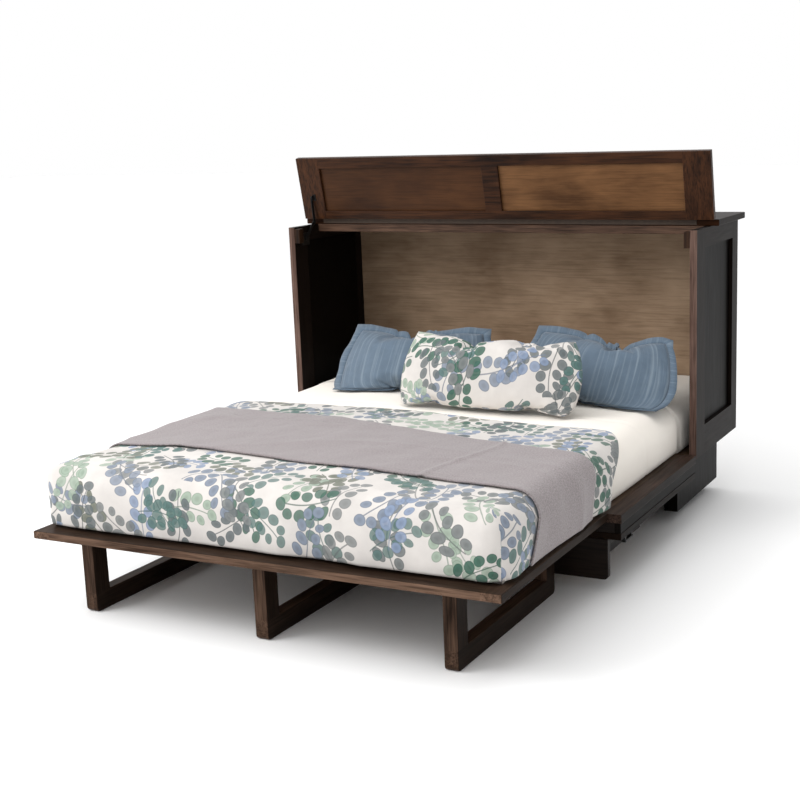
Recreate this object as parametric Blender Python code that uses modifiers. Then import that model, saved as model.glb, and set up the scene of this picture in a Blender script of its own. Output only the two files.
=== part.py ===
"""Cabinet wall bed, shown opened out: a low cabinet with a flip-up lid, a middle platform that is the cabinet's
front, a foot platform on three loop legs, a roll-out drawer and the bedding. Metres, +Z up, +Y to the back."""

import math

import bmesh
import bpy
from mathutils import Matrix, Vector

# Driving dimensions. Heights are from the floor. Y is counted from the front faces of the side stiles
# and SHIFT_Y then moves everything, so that the origin is under the middle of the whole bed.
HALF_W = 0.813
SIDE_T = 0.025
DEPTH = 0.520
SIDE_Z = (0.237, 1.0268)
TOP_Z = (1.0273, 1.0498)
TOP_HALF_W = 0.839
LID_HALF_W = 0.829
FOOT_END = -1.538
SHIFT_Y = (-FOOT_END - 0.522) / 2
GAP = 0.0003

INNER = HALF_W - SIDE_T
BASE_X = (0.710, 0.745)
BASE_Z = (0.040, 0.2369)
DECK_TOP = 0.2503

LID_OPEN = math.radians(78.1)
LID_AXIS = (0.1715, 1.0505)
LID_FRONT = -0.074
LID_STILE = 0.100
MID_STILE = 0.066
REBATE = 0.008

PLAT_AXIS = (-0.001, 0.2515)
PLAT_Y = (-0.768, -0.0042)
PLAT_TOP = 0.2500
PLAT_BOTTOM = 0.170
PLAT_RAIL_W = 0.056

FOLD_AXIS = (-0.770, 0.300)
FOOT_Y = (FOOT_END, -0.772)
FOOT_HALF_W = 0.771
FOOT_Z = (0.229, 0.253)

LEG_W = 0.042
LEG_Y = (-1.483, -0.820)
LEG_TOP = 0.2285
LEG_POST = 0.063
LEG_RAIL = 0.058
LEG_PIVOT_Z = 0.2245
# name, low X of the loop, the way it folds
LEGS = (("left", -0.638, 1), ("mid", -0.022, 1), ("right", 0.575, -1))

DRAWER_Y = (-0.765, -0.745)
DRAWER_Z = (0.040, 0.168)
DRAWER_HALF_W = 0.768

STAY_X = -0.7835
STAY_PIVOT = (0.076, 0.977)
STAY_ELBOW = (0.1352, 1.0379)
STAY_LID_POINT = (0.0815, 1.0193)
STAY_T = 0.0025

BED_HALF_W = 0.755
BED_TOP = 0.4255

for old in list(bpy.data.objects):
    bpy.data.objects.remove(old, do_unlink=True)
scene = bpy.context.scene
parts = bpy.data.collections.new("cabinet_wall_bed")
cutters = bpy.data.collections.new("cutters")
scene.collection.children.link(parts)
scene.collection.children.link(cutters)
cutters.hide_render = True

COLOURS = {
    "walnut": ((0.080, 0.045, 0.030), 0.45, 0.0),
    "walnut_light": ((0.150, 0.090, 0.055), 0.50, 0.0),
    "ply": ((0.180, 0.125, 0.080), 0.60, 0.0),
    "black_steel": ((0.020, 0.020, 0.022), 0.40, 1.0),
    "mattress": ((0.830, 0.780, 0.700), 0.95, 0.0),
    "duvet": ((0.800, 0.780, 0.740), 0.90, 0.0),
    "throw": ((0.330, 0.320, 0.330), 0.95, 0.0),
    "sham": ((0.110, 0.170, 0.240), 0.85, 0.0),
}


def material(obj, kind):
    """A Principled material of the object's own, in the colour of its kind."""
    colour, rough, metal = COLOURS[kind]
    mat = bpy.data.materials.new(obj.name + "_" + kind)
    mat.use_nodes = True
    shader = mat.node_tree.nodes["Principled BSDF"]
    shader.inputs["Base Color"].default_value = (*colour, 1.0)
    shader.inputs["Roughness"].default_value = rough
    shader.inputs["Metallic"].default_value = metal
    mat.diffuse_color = (*colour, 1.0)
    obj.data.materials.append(mat)


def add(name, mesh, kind=None):
    """Puts a mesh, drawn in whole-bed coordinates, into the parts, or among the cutters if it has no kind."""
    obj = bpy.data.objects.new(name, mesh)
    obj.location = (0.0, SHIFT_Y, 0.0)
    if kind is None:
        cutters.objects.link(obj)
        obj.hide_render = True
        obj.display_type = "WIRE"
    else:
        parts.objects.link(obj)
        material(obj, kind)
    return obj


def box_mesh(name, x, y, z):
    """A block between two limits on each axis, made from a unit cube."""
    sides = [(min(v), max(v)) for v in (x, y, z)]
    size = [high - low for low, high in sides]
    middle = [(high + low) / 2 for low, high in sides]
    bm = bmesh.new()
    bmesh.ops.create_cube(bm, size=1.0)
    bmesh.ops.scale(bm, vec=Vector(size), verts=bm.verts)
    bmesh.ops.translate(bm, vec=Vector(middle), verts=bm.verts)
    mesh = bpy.data.meshes.new(name)
    bm.to_mesh(mesh)
    bm.free()
    return mesh


def block(name, x, y, z, kind=None):
    return add(name, box_mesh(name, x, y, z), kind)


def rod_mesh(name, x, axis, radius, sides=14):
    """A rod along X between two X limits, with its axis at (y, z)."""
    bm = bmesh.new()
    bmesh.ops.create_cone(
        bm, cap_ends=True, segments=sides, radius1=radius, radius2=radius, depth=max(x) - min(x)
    )
    bmesh.ops.rotate(bm, matrix=Matrix.Rotation(math.pi / 2, 3, "Y"), verts=bm.verts)
    bmesh.ops.translate(bm, vec=Vector((sum(x) / 2, *axis)), verts=bm.verts)
    mesh = bpy.data.meshes.new(name)
    bm.to_mesh(mesh)
    bm.free()
    return mesh


def prism_mesh(name, outline, x):
    """A flat outline in Y and Z, drawn anticlockwise seen from +X, run between two X limits."""
    low, high = min(x), max(x)
    bm = bmesh.new()
    face = bm.faces.new([bm.verts.new((low, y, z)) for y, z in outline])
    face.normal_flip()
    run = bmesh.ops.extrude_face_region(bm, geom=[face])
    moved = [v for v in run["geom"] if isinstance(v, bmesh.types.BMVert)]
    bmesh.ops.translate(bm, vec=Vector((high - low, 0, 0)), verts=moved)
    bmesh.ops.recalc_face_normals(bm, faces=bm.faces)
    mesh = bpy.data.meshes.new(name)
    bm.to_mesh(mesh)
    bm.free()
    return mesh


def joined(name, meshes):
    """One cutter object from several meshes that don't touch each other."""
    bm = bmesh.new()
    for mesh in meshes:
        bm.from_mesh(mesh)
    whole = bpy.data.meshes.new(name)
    bm.to_mesh(whole)
    bm.free()
    return add(name, whole)


def boolean(obj, other, operation):
    mod = obj.modifiers.new(operation.lower(), "BOOLEAN")
    mod.operation = operation
    mod.solver = "EXACT"
    mod.object = other


def cut(obj, x, y, z):
    boolean(obj, block("cut_" + obj.name, x, y, z), "DIFFERENCE")


def weld_on(obj, x, y, z):
    boolean(obj, block("add_" + obj.name, x, y, z), "UNION")


def soften(obj, width=0.0015, segments=2, angle=40):
    mod = obj.modifiers.new("edges", "BEVEL")
    mod.width = width
    mod.segments = segments
    mod.limit_method = "ANGLE"
    mod.angle_limit = math.radians(angle)
    return obj


def board(name, x, y, z, kind="walnut", edge=0.0015):
    return soften(block(name, x, y, z, kind), edge)


def origin_on(obj, point):
    """Moves the object's origin to a point in whole-bed coordinates, with its shape left where it is."""
    at = Vector(point)
    obj.data.transform(Matrix.Translation(-at))
    obj.location = at + Vector((0.0, SHIFT_Y, 0.0))
    return obj


def hinge_leaf(name, x, y, drop, axis, radius, runs, kind="black_steel"):
    """A strip on a board's edge, with knuckles over the given runs of X and a web from each down to the strip."""
    top = axis[1] - radius - 0.0006
    leaf = block(name, x, y, (axis[1] - drop, top), kind)
    webs = [box_mesh(name, run, y, (top - 0.001, axis[1])) for run in runs]
    boolean(leaf, joined("webs_" + name, webs), "UNION")
    barrels = [rod_mesh(name, run, axis, radius) for run in runs]
    boolean(leaf, joined("barrels_" + name, barrels), "UNION")
    return leaf


def panelled(name, x, y, z, openings, depth_axis, ledge, kind="walnut"):
    """A frame with openings, each wider by REBATE on the side where its panel goes in."""
    frame = block(name, x, y, z, kind)
    limits = [list(x), list(y), list(z)]
    for opening in openings:
        through = [list(side) if side else None for side in opening]
        pocket = [list(side) if side else None for side in opening]
        for i in range(3):
            if i == depth_axis:
                low, high = min(limits[i]), max(limits[i])
                through[i] = [low - 0.01, high + 0.01]
                pocket[i] = [ledge, high + 0.01] if ledge > (low + high) / 2 - 0.02 else [low - 0.01, ledge]
            else:
                pocket[i] = [min(pocket[i]) - REBATE, max(pocket[i]) + REBATE]
        cut(frame, *through)
        cut(frame, *pocket)
    return soften(frame, 0.0015)


# ---------------------------------------------------------------- cabinet
for side, s in (("left", -1), ("right", 1)):
    frame = block("side_frame_" + side, (s * INNER, s * HALF_W), (0.0, DEPTH), SIDE_Z, "walnut")
    opening_y, opening_z = (0.100, 0.450), (0.339, 0.961)
    cut(frame, (s * 0.70, s * 0.90), opening_y, opening_z)
    cut(
        frame,
        (s * 0.70, s * (INNER + 0.012)),
        (opening_y[0] - 0.010, opening_y[1] + 0.010),
        (opening_z[0] - 0.010, opening_z[1] + 0.010),
    )
    soften(frame, 0.002)
    board(
        "side_panel_" + side,
        (s * (INNER + GAP), s * (INNER + 0.012 - GAP)),
        (opening_y[0] - 0.010 + GAP, opening_y[1] + 0.010 - GAP),
        (opening_z[0] - 0.010 + GAP, opening_z[1] + 0.010 - GAP),
        edge=0.0028,
    )
    board("strike_block_" + side, (s * 0.766, s * (INNER - GAP)), (0.001, 0.031), (0.966, 1.021))
    base = block("base_side_" + side, (s * BASE_X[0], s * BASE_X[1]), (0.0022, 0.499), BASE_Z, "walnut")
    weld_on(base, (s * 0.655, s * 0.712), (0.130, 0.470), (0.040, 0.055))
    weld_on(base, (s * 0.655, s * 0.700), (0.131, 0.469), (0.0, 0.050))
    soften(base, 0.0015, 1)

inside = (-(INNER - GAP), INNER - GAP)
board("back_panel", inside, (0.505, 0.5137), (0.2507, SIDE_Z[1]), "ply", 0.0008)
board("top_fixed", (-TOP_HALF_W, TOP_HALF_W), (0.1748, 0.522), TOP_Z, edge=0.003)
board("top_rail", inside, (0.1755, 0.1955), (0.998, 1.0270))
board("head_deck", inside, (0.0022, 0.5046), (0.2373, DECK_TOP), "ply", 0.0008)
base_inside = (-(BASE_X[0] - GAP), BASE_X[0] - GAP)
board("base_front_rail", base_inside, (0.0022, 0.0222), (0.172, BASE_Z[1]))
board("base_back_rail", base_inside, (0.478, 0.499), (0.058, BASE_Z[1]), "ply")


def runs_along(half, count, share, own):
    """Every second stretch of a long hinge: own is 0 or 1."""
    pitch = 2 * half / count
    return [
        (-half + i * pitch + share, -half + (i + 1) * pitch - share) for i in range(count) if i % 2 == own
    ]


HINGE_HALF = 0.70
origin_on(
    hinge_leaf(
        "cabinet_hinge_leaf",
        (-HINGE_HALF, HINGE_HALF),
        (0.0004, 0.0018),
        0.036,
        PLAT_AXIS,
        0.0028,
        runs_along(HINGE_HALF, 14, 0.0004, 0),
    ),
    (0.0, *PLAT_AXIS),
)
origin_on(
    hinge_leaf(
        "platform_hinge_leaf",
        (-HINGE_HALF, HINGE_HALF),
        (-0.0038, -0.0024),
        0.036,
        PLAT_AXIS,
        0.0028,
        runs_along(HINGE_HALF, 14, 0.0004, 1),
    ),
    (0.0, *PLAT_AXIS),
)

# ---------------------------------------------------------------- lid, drawn shut and then turned open
lid_parts = []
panel_y = (LID_FRONT + 0.041, 0.137)
panel_x = (MID_STILE / 2, LID_HALF_W - LID_STILE)
lid = block("lid_frame", (-LID_HALF_W, LID_HALF_W), (LID_FRONT, 0.1682), TOP_Z, "walnut")
PANEL_LEDGE = 1.0375
for side, s in (("left", -1), ("right", 1)):
    cut(lid, (s * panel_x[0], s * panel_x[1]), panel_y, (0.95, 1.15))
    cut(
        lid,
        (s * (panel_x[0] - REBATE), s * (panel_x[1] + REBATE)),
        (panel_y[0] - REBATE, panel_y[1] + REBATE),
        (PANEL_LEDGE, 1.15),
    )
    lid_parts.append(
        board(
            "lid_panel_" + side,
            (s * (panel_x[0] - REBATE + GAP), s * (panel_x[1] + REBATE - GAP)),
            (panel_y[0] - REBATE + GAP, panel_y[1] + REBATE - GAP),
            (PANEL_LEDGE + GAP, TOP_Z[1]),
            "walnut_light",
            0.0028,
        )
    )
soften(lid, 0.002)
LID_HINGES = (-0.705, -0.235, 0.235, 0.705)
middle_runs = [(x - 0.012, x + 0.012) for x in LID_HINGES]
outer_runs = [(x + a, x + b) for x in LID_HINGES for a, b in ((-0.030, -0.0125), (0.0125, 0.030))]
top_leaf = hinge_leaf(
    "top_hinge_leaf", (-0.76, 0.76), (0.1733, 0.1747), 0.020, LID_AXIS, 0.0028, outer_runs
)
origin_on(top_leaf, (0.0, *LID_AXIS))
lid_leaf = hinge_leaf(
    "lid_hinge_leaf", (-0.76, 0.76), (0.1683, 0.1697), 0.020, LID_AXIS, 0.0028, middle_runs
)
lug_x = (STAY_X + 2 * STAY_T + 0.003, STAY_X + 2 * STAY_T + 0.0055)
lug = block("stay_lid_lug", lug_x, (0.0725, 0.0905), (1.0125, 1.0270), "black_steel")
weld_on(lug, (lug_x[0], lug_x[0] + 0.012), (0.0690, 0.0940), (1.0250, 1.0270))
boolean(
    lug,
    joined("pin_lug", [rod_mesh("pin", (STAY_X + STAY_T + 0.0005, lug_x[1] - 0.001), STAY_LID_POINT, 0.003)]),
    "UNION",
)
for obj in [lid, lid_leaf, lug, *lid_parts]:
    for mod in obj.modifiers:
        if mod.type == "BOOLEAN":
            origin_on(mod.object, (0.0, *LID_AXIS))
            mod.object.rotation_euler.x = -LID_OPEN
    origin_on(obj, (0.0, *LID_AXIS))
    obj.rotation_euler.x = -LID_OPEN


def turned(point, axis, angle):
    """A (y, z) point turned about (y, z) axis by an angle about +X."""
    y, z = point[0] - axis[0], point[1] - axis[1]
    return (
        axis[0] + y * math.cos(angle) - z * math.sin(angle),
        axis[1] + y * math.sin(angle) + z * math.cos(angle),
    )


def arm(name, x, start, end, width, pin_at=None):
    """A flat bar with round ends, a hole at start, and a boss at end on its outer side."""
    along = math.atan2(end[1] - start[1], end[0] - start[0])
    outline = []
    for centre, first in ((start, along + math.pi / 2), (end, along - math.pi / 2)):
        for i in range(9):
            a = first + math.pi * i / 8
            outline.append((centre[0] + width / 2 * math.cos(a), centre[1] + width / 2 * math.sin(a)))
    bar = add(name, prism_mesh(name, outline, x), "black_steel")
    hole = joined("hole_" + name, [rod_mesh("hole", (min(x) - 0.01, max(x) + 0.01), start, 0.0033)])
    boolean(bar, hole, "DIFFERENCE")
    boss = joined("boss_" + name, [rod_mesh("boss", pin_at, end, 0.0045)])
    boolean(bar, boss, "UNION")
    return origin_on(bar, (0.0, *start))


stay_bracket = board(
    "stay_bracket", (-(INNER - GAP), -(INNER - 0.0025)), (0.050, 0.102), (0.953, 1.001), "black_steel", 0.0006
)
boolean(
    stay_bracket,
    joined("pin_bracket", [rod_mesh("pin", (-(INNER - 0.0015), STAY_X + STAY_T + 0.0003), STAY_PIVOT, 0.003)]),
    "UNION",
)
arm(
    "stay_lower_arm",
    (STAY_X, STAY_X + STAY_T),
    STAY_PIVOT,
    STAY_ELBOW,
    0.014,
    (STAY_X - 0.0012, STAY_X + 0.001),
)
arm(
    "stay_upper_arm",
    (STAY_X + STAY_T + 0.0008, STAY_X + 2 * STAY_T + 0.0008),
    turned(STAY_LID_POINT, LID_AXIS, -LID_OPEN),
    STAY_ELBOW,
    0.014,
    (STAY_X + 2 * STAY_T, STAY_X + 2 * STAY_T + 0.002),
)

# ---------------------------------------------------------------- middle platform, which is the cabinet's front
for side, s in (("left", -1), ("right", 1)):
    rail = block(
        "platform_rail_" + side,
        (s * (HALF_W - PLAT_RAIL_W), s * HALF_W),
        PLAT_Y,
        (0.2228, PLAT_TOP),
        "walnut",
    )
    weld_on(rail, (s * 0.790, s * 0.8095), (PLAT_Y[0] + 0.003, PLAT_Y[1] - 0.002), (0.1903, 0.2300))
    soften(rail, 0.0009)
    board(
        "front_panel_" + side,
        (s * (0.033 - REBATE + GAP), s * (0.706 + REBATE - GAP)),
        (-0.700 - REBATE + GAP, -0.090 + REBATE - GAP),
        (0.1803, 0.1897),
        "walnut_light",
        0.0022,
    )
    handle = block(
        "handle_" + side, (s * 0.787, s * 0.801), (-0.697, -0.627), (0.142, 0.149), "black_steel"
    )
    weld_on(handle, (s * 0.7892, s * 0.7988), (-0.695, -0.685), (0.146, 0.1697))
    weld_on(handle, (s * 0.7892, s * 0.7988), (-0.639, -0.629), (0.146, 0.1697))
    soften(handle, 0.0012)
board("platform_deck", (-0.7567, 0.7567), PLAT_Y, (0.2228, PLAT_TOP), "ply", 0.0008)
board("platform_end_rail", (-0.7897, 0.7897), (-0.766, -0.748), (0.1903, 0.2225))
board("platform_hinge_rail", (-0.7897, 0.7897), (-0.0242, -0.0042), (0.1903, 0.2225))
front = block("front_frame", (-0.811, 0.811), (-0.766, -0.0042), (PLAT_BOTTOM, 0.190), "walnut")
for s in (-1, 1):
    cut(front, (s * 0.033, s * 0.706), (-0.700, -0.090), (0.10, 0.30))
    cut(
        front,
        (s * (0.033 - REBATE), s * (0.706 + REBATE)),
        (-0.700 - REBATE, -0.090 + REBATE),
        (0.180, 0.30),
    )
soften(front, 0.002)

# raised hinge between the middle and foot platforms
FOLD_HINGES = (-0.5, 0.0, 0.5)


def raised_leaf(name, y, foot, runs):
    """An edge strip with plates that stand up to knuckles at FOLD_AXIS, which leaves room for folded bedding."""
    leaf = block(name, (-HINGE_HALF, HINGE_HALF), y, foot, "black_steel")
    plates = [
        box_mesh(name, (x - 0.026, x + 0.026), y, (foot[1] - 0.004, FOLD_AXIS[1] - 0.0058))
        for x in FOLD_HINGES
    ]
    boolean(leaf, joined("plates_" + name, plates), "UNION")
    webs = [box_mesh(name, run, y, (FOLD_AXIS[1] - 0.008, FOLD_AXIS[1])) for run in runs]
    boolean(leaf, joined("webs_" + name, webs), "UNION")
    boolean(leaf, joined("barrels_" + name, [rod_mesh(name, run, FOLD_AXIS, 0.005) for run in runs]), "UNION")
    return origin_on(leaf, (0.0, *FOLD_AXIS))


raised_leaf(
    "fold_hinge_platform_leaf",
    (-0.7697, -0.7683),
    (0.226, 0.249),
    [(x - 0.0115, x + 0.0115) for x in FOLD_HINGES],
)
raised_leaf(
    "fold_hinge_foot_leaf",
    (-0.7717, -0.7703),
    (0.2305, 0.2515),
    [(x + a, x + b) for x in FOLD_HINGES for a, b in ((-0.025, -0.0125), (0.0125, 0.025))],
)

# ---------------------------------------------------------------- foot platform and its loop legs
foot = block("foot_frame", (-FOOT_HALF_W, FOOT_HALF_W), FOOT_Y, FOOT_Z, "walnut")
foot_open = ((-0.711, 0.711), (-1.415, -0.905))
cut(foot, *foot_open, (0.10, 0.30))
cut(
    foot,
    (foot_open[0][0] - REBATE, foot_open[0][1] + REBATE),
    (foot_open[1][0] - REBATE, foot_open[1][1] + REBATE),
    (0.241, 0.30),
)
soften(foot, 0.004)
board(
    "foot_deck",
    (foot_open[0][0] - REBATE + GAP, foot_open[0][1] + REBATE - GAP),
    (foot_open[1][0] - REBATE + GAP, foot_open[1][1] + REBATE - GAP),
    (0.241 + GAP, FOOT_Z[1]),
    "ply",
    0.0052,
)


def rounded(points, radii, steps=5):
    """An outline with its corners rounded: points in order, a radius for each."""
    out = []
    count = len(points)
    for i, (point, radius) in enumerate(zip(points, radii)):
        here = Vector(point)
        if radius <= 0:
            out.append(tuple(here))
            continue
        back = (Vector(points[i - 1]) - here).normalized()
        ahead = (Vector(points[(i + 1) % count]) - here).normalized()
        centre = here + (back + ahead) * radius
        start = here + back * radius - centre
        end = here + ahead * radius - centre
        for k in range(steps + 1):
            a = math.pi / 2 * k / steps
            out.append(tuple(centre + start * math.cos(a) + end * math.sin(a)))
    return out


for name, low, way in LEGS:
    x = (low, low + LEG_W)
    y0, y1 = LEG_Y
    inner0, inner1 = y0 + LEG_POST, y1 - LEG_POST
    outline = [
        (y0, LEG_TOP),
        (y0, 0.0),
        (y1, 0.0),
        (y1, LEG_TOP),
        (inner1, LEG_TOP),
        (inner1, LEG_RAIL),
        (inner0, LEG_RAIL),
        (inner0, LEG_TOP),
    ]
    loop = add(
        "leg_" + name,
        prism_mesh("leg_" + name, rounded(outline, [0, 0.014, 0.014, 0, 0, 0.004, 0.004, 0]), x),
        "walnut",
    )
    soften(loop, 0.0025, 2, 50)
    edge = x[1] if way > 0 else x[0]
    pivot_x = edge + way * 0.004
    origin_on(loop, (pivot_x, 0.0, LEG_PIVOT_Z))
    strip = block(
        "leg_hinge_" + name,
        (pivot_x + way * 0.0010, pivot_x + way * 0.034),
        (y0 + 0.008, y1 - 0.008),
        (0.2262, 0.2287),
        "black_steel",
    )
    for post in ((y0 + 0.008, y0 + 0.055), (y1 - 0.055, y1 - 0.008)):
        weld_on(strip, (pivot_x - way * 0.0008, pivot_x + way * 0.0025), post, (LEG_PIVOT_Z, 0.2287))
        barrel = joined("barrel_" + name, [rod_mesh("barrel", post, (0.0, 0.0), 0.0034)])
        barrel.rotation_euler.z = math.pi / 2
        barrel.location = (pivot_x, SHIFT_Y, LEG_PIVOT_Z)
        boolean(strip, barrel, "UNION")
    origin_on(strip, (pivot_x, 0.0, LEG_PIVOT_Z))

# ---------------------------------------------------------------- drawer
face_outline = [
    (-DRAWER_HALF_W, DRAWER_Z[1]),
    (-DRAWER_HALF_W, DRAWER_Z[0]),
    (DRAWER_HALF_W, DRAWER_Z[0]),
    (DRAWER_HALF_W, DRAWER_Z[1]),
]
face_mesh = prism_mesh("drawer_front", rounded(face_outline, [0, 0.014, 0.014, 0]), (-DRAWER_Y[1], -DRAWER_Y[0]))
face_mesh.transform(Matrix.Rotation(-math.pi / 2, 4, "Z"))
face = add("drawer_front", face_mesh, "walnut")
for s in (-1, 1):
    weld_on(face, (s * 0.7465, s * 0.766), (DRAWER_Y[1] - 0.004, -0.655), (0.148, DRAWER_Z[1]))
soften(face, 0.0015, 2, 50)
tray = block("drawer_box", (-0.700, 0.700), (DRAWER_Y[1] + GAP, -0.270), (0.058, 0.150), "ply")
cut(tray, (-0.688, 0.688), (DRAWER_Y[1] + 0.0123, -0.282), (0.03, 0.20))
soften(tray, 0.001, 1)
board("drawer_bottom", (-0.6877, 0.6877), (DRAWER_Y[1] + 0.0126, -0.2823), (0.0583, 0.0643), "ply", 0.0016)
for side, s in (("left", -1), ("right", 1)):
    skid = [(-0.620, 0.0577), (-0.620, 0.0), (-0.300, 0.0), (-0.300, 0.0577)]
    mesh = prism_mesh("drawer_skid_" + side, rounded(skid, [0, 0.020, 0.020, 0]), (s * 0.585, s * 0.615))
    soften(add("drawer_skid_" + side, mesh, "walnut"), 0.001, 1, 50)

# ---------------------------------------------------------------- bedding
soften(
    block("mattress_head", (-BED_HALF_W, BED_HALF_W), (0.004, 0.498), (0.2508, BED_TOP), "mattress"), 0.025, 3
)
soften(
    block("mattress_mid", (-BED_HALF_W, BED_HALF_W), (-0.7635, -0.006), (0.2503, BED_TOP), "mattress"), 0.025, 3
)
soften(
    block("mattress_foot", (-BED_HALF_W, BED_HALF_W), (-1.474, -0.7765), (0.2533, BED_TOP), "mattress"),
    0.025,
    3,
)


def cover(name, half, y, z, inner_half, inner_y, inner_top, kind, edge):
    """A cloth laid over the bed: a block with the bed under it cut away."""
    cloth = block(name, (-half, half), y, z, kind)
    cut(cloth, (-inner_half, inner_half), inner_y, (0.0, inner_top))
    return soften(cloth, edge, 2, 30)


cover("duvet_mid", 0.783, (-0.7697, -0.405), (0.290, 0.450), 0.7565, (-0.90, -0.20), 0.4262, "duvet", 0.010)
cover("duvet_foot", 0.783, (-1.500, -0.7703), (0.262, 0.450), 0.7565, (-1.4765, -0.60), 0.4262, "duvet", 0.010)
cover("throw_mid", 0.790, (-0.7697, -0.690), (0.285, 0.458), 0.7835, (-0.90, -0.50), 0.4505, "throw", 0.003)
cover("throw_foot", 0.790, (-1.245, -0.7703), (0.280, 0.458), 0.7835, (-1.40, -0.60), 0.4505, "throw", 0.003)


def pillow(name, centre, size, lean, kind):
    """A plump cushion leaning back: a ball squared off in its own plane and thinned to its edges."""
    bm = bmesh.new()
    bmesh.ops.create_uvsphere(bm, u_segments=20, v_segments=12, radius=1.0)
    for vert in bm.verts:
        x, y, z = vert.co
        flat = max(abs(x), abs(y))
        reach = math.hypot(x, y)
        grow = (reach / flat) ** 0.75 if flat > 1e-6 else 1.0
        vert.co = Vector((x * grow * size[0] / 2, y * grow * size[1] / 2, z * size[2] / 2))
    mesh = bpy.data.meshes.new(name)
    bmesh.ops.rotate(bm, matrix=Matrix.Rotation(lean, 3, "X"), verts=bm.verts)
    bmesh.ops.translate(bm, vec=Vector(centre), verts=bm.verts)
    bm.to_mesh(mesh)
    bm.free()
    return add(name, mesh, kind)


pillow("sham_left", (-0.280, -0.010, 0.582), (0.58, 0.38, 0.150), math.radians(48), "sham")
pillow("sham_right", (0.448, -0.040, 0.585), (0.56, 0.38, 0.150), math.radians(50), "sham")
pillow("pillow_centre", (0.158, -0.300, 0.580), (0.64, 0.34, 0.130), math.radians(58), "duvet")
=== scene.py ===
import math

import bmesh
import bpy
import numpy as np
from mathutils import Matrix, Vector, noise
from mathutils.bvhtree import BVHTree


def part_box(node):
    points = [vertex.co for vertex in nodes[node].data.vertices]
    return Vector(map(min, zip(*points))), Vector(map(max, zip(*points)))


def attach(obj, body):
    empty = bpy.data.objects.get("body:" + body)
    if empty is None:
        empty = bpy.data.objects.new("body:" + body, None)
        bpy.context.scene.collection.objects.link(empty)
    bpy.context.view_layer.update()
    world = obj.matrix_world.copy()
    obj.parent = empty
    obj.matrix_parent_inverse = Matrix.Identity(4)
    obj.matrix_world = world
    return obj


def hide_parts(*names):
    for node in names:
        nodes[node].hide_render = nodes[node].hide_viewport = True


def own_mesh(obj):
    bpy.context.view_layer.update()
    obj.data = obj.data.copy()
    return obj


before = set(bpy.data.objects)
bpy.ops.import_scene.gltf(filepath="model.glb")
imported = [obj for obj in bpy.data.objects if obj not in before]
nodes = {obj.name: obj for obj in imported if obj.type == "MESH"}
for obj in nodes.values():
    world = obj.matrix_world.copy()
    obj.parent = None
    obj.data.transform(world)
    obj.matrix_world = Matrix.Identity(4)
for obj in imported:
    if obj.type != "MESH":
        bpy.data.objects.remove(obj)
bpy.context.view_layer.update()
scene = bpy.context.scene
scene.view_settings.view_transform = "Standard"

# The front faces of the cabinet's side stiles: bed lengths below are counted from there.
FRONT_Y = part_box("side_frame_right")[0].y

# ------------------------------------------------------------------ camera, floor and light
AZIMUTH, ELEVATION, ROLL = math.radians(27.046), math.radians(11.696), math.radians(-1.947)
TARGET, DISTANCE = Vector((-0.010, FRONT_Y - 0.264, 0.4474)), 4.8363
back = Vector(
    (
        math.sin(AZIMUTH) * math.cos(ELEVATION),
        -math.cos(AZIMUTH) * math.cos(ELEVATION),
        math.sin(ELEVATION),
    )
)
level = Vector((math.cos(AZIMUTH), math.sin(AZIMUTH), 0))
rise = back.cross(level)
across = level * math.cos(ROLL) + rise * math.sin(ROLL)
up = -level * math.sin(ROLL) + rise * math.cos(ROLL)
cam_data = bpy.data.cameras.new("camera")
cam_data.lens, cam_data.sensor_width = 61.568, 36.0
cam_data.shift_x, cam_data.shift_y = -0.06, 0.0
cam_data.clip_start, cam_data.clip_end = 0.1, 100
camera = bpy.data.objects.new("camera", cam_data)
scene.collection.objects.link(camera)
turn = Matrix((across, up, back)).transposed().to_4x4()
camera.matrix_world = Matrix.Translation(TARGET + back * DISTANCE) @ turn
scene.camera = camera


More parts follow.
